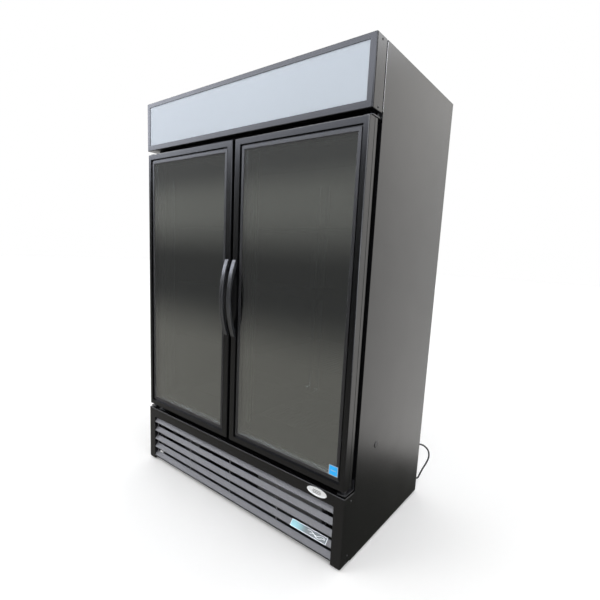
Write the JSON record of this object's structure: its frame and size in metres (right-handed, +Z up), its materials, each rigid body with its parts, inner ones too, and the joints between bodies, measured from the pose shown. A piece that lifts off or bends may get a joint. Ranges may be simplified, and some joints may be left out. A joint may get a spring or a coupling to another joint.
{
  "type": "glass door merchandiser",
  "caption": "Upright black glass-door refrigerator with swinging framed glass doors, bow handles, a sign header, wire shelves and a louvered grille over the machine compartment.",
  "frame": {"origin": "on the floor, under the middle of the object's box without the mains cord", "axes": "+Z up, +Y from the doors to the back, +X to the right as seen from the front"},
  "size_m": [1.4012, 0.946, 2.006],
  "materials": {
    "black_paint": "gloss",
    "galvanised_steel": "satin",
    "frame_black": "satin",
    "foam": "matte",
    "white_liner": "satin",
    "black_trim": "satin",
    "zinc_steel": "satin",
    "hinge_black": "satin",
    "badge_plate": "satin",
    "white_wire": "satin",
    "coil_fins": "satin",
    "motor_enamel": "satin",
    "fan_plastic": "satin",
    "fan_metal": "satin",
    "lamp_diffuser": "satin",
    "sign_panel": "satin",
    "black_screw": "satin",
    "grey_louver": "satin",
    "badge_silver": "satin",
    "badge_blue": "gloss",
    "door_black": "satin",
    "clear_glass": "polished",
    "spacer_metal": "satin",
    "gasket_rubber": "matte",
    "handle_black": "satin",
    "copper": "satin",
    "cord_black": "satin",
    "cap_black": "satin",
    "control_plastic": "satin"
  },
  "bodies": {
    "cabinet": {"left_side_panel": "black_paint", "right_side_panel": "black_paint", "top_panel": "black_paint", "back_panel": "galvanised_steel", "base_frame": "frame_black", "insulation": "foam", "inner_liner": "white_liner", "face_frame": "black_paint", "center_mullion": "black_trim", "shelf_pilasters": "zinc_steel", "shelf_clips": "zinc_steel", "left_shelves": "white_wire", "right_shelves": "white_wire", "evaporator_cover": "white_liner", "evaporator_coil": "coil_fins", "fan_motors": "motor_enamel", "lamps": "lamp_diffuser", "header_housing": "galvanised_steel", "header_bezel": "black_paint", "header_panel": "sign_panel", "fascia_screws": "black_screw", "grille_frame": "black_paint", "grille_louvers": "grey_louver", "grille_badge": "badge_plate", "oval_plate": "badge_silver", "hinge_brackets": "hinge_black", "compressor": "motor_enamel", "condenser_coil": "coil_fins", "fan_shroud": "frame_black", "unit_tray": "frame_black", "refrigerant_lines": "copper", "electrical_box": "frame_black", "rear_grille": "galvanised_steel", "cord_gland": "cord_black", "power_cord": "cord_black", "cord_coil": "cord_black", "power_plug": "cord_black", "side_plugs": "cap_black"},
    "right_door": {"right_door_frame": "door_black", "right_glazing_bead": "black_trim", "right_glass": "clear_glass", "right_glass_spacer": "spacer_metal", "right_door_gasket": "gasket_rubber", "right_handle": "handle_black", "door_badge": "badge_blue"},
    "left_door": {"left_door_frame": "door_black", "left_glazing_bead": "black_trim", "left_glass": "clear_glass", "left_glass_spacer": "spacer_metal", "left_door_gasket": "gasket_rubber", "left_handle": "handle_black"},
    "front_right_foot": {"front_right_foot": "cap_black"},
    "front_left_foot": {"front_left_foot": "cap_black"},
    "rear_right_foot": {"rear_right_foot": "cap_black"},
    "rear_left_foot": {"rear_left_foot": "cap_black"},
    "light_switch": {"light_switch": "control_plastic"},
    "thermostat_dial": {"thermostat_dial": "control_plastic"},
    "condenser_fan": {"condenser_fan": "fan_metal"},
    "evaporator_fan_right": {"evaporator_fan_right": "fan_plastic"},
    "evaporator_fan_left": {"evaporator_fan_left": "fan_plastic"}
  },
  "joints": [
    {"name": "right_door_hinge", "type": "hinge", "parent": "cabinet", "child": "right_door", "pos_m": [0.663, -0.3325, 1.047], "axis": [0, 0, 1], "range_deg": [0, 120], "stiffness_Nm_per_rad": 1.2},
    {"name": "left_door_hinge", "type": "hinge", "parent": "cabinet", "child": "left_door", "pos_m": [-0.663, -0.3325, 1.047], "axis": [0, 0, -1], "range_deg": [0, 120], "stiffness_Nm_per_rad": 1.2},
    {"name": "condenser_fan_spin", "type": "hinge", "parent": "cabinet", "child": "condenser_fan", "pos_m": [0.32, -0.1955, 0.164], "axis": [0, 1, 0], "continuous": true},
    {"name": "evaporator_fan_right_spin", "type": "hinge", "parent": "cabinet", "child": "evaporator_fan_right", "pos_m": [0.27, -0.1065, 1.8538], "axis": [0, 1, 0], "continuous": true},
    {"name": "evaporator_fan_left_spin", "type": "hinge", "parent": "cabinet", "child": "evaporator_fan_left", "pos_m": [-0.27, -0.1065, 1.8538], "axis": [0, 1, 0], "continuous": true},
    {"name": "light_switch_rock", "type": "hinge", "parent": "cabinet", "child": "light_switch", "pos_m": [0.48, -0.1245, 1.8538], "axis": [1, 0, 0], "range_deg": [-16, 0]},
    {"name": "thermostat_turn", "type": "hinge", "parent": "cabinet", "child": "thermostat_dial", "pos_m": [-0.43, -0.2555, 0.148], "axis": [0, -1, 0], "range_deg": [-135, 135]},
    {"name": "front_right_foot_turn", "type": "hinge", "parent": "cabinet", "child": "front_right_foot", "pos_m": [0.6475, -0.2255, 0.006], "axis": [0, 0, 1], "continuous": true},
    {"name": "front_left_foot_turn", "type": "hinge", "parent": "cabinet", "child": "front_left_foot", "pos_m": [-0.6475, -0.2255, 0.006], "axis": [0, 0, 1], "continuous": true},
    {"name": "rear_right_foot_turn", "type": "hinge", "parent": "cabinet", "child": "rear_right_foot", "pos_m": [0.6475, 0.3385, 0.006], "axis": [0, 0, 1], "continuous": true},
    {"name": "rear_left_foot_turn", "type": "hinge", "parent": "cabinet", "child": "rear_left_foot", "pos_m": [-0.6475, 0.3385, 0.006], "axis": [0, 0, 1], "continuous": true}
  ]
}
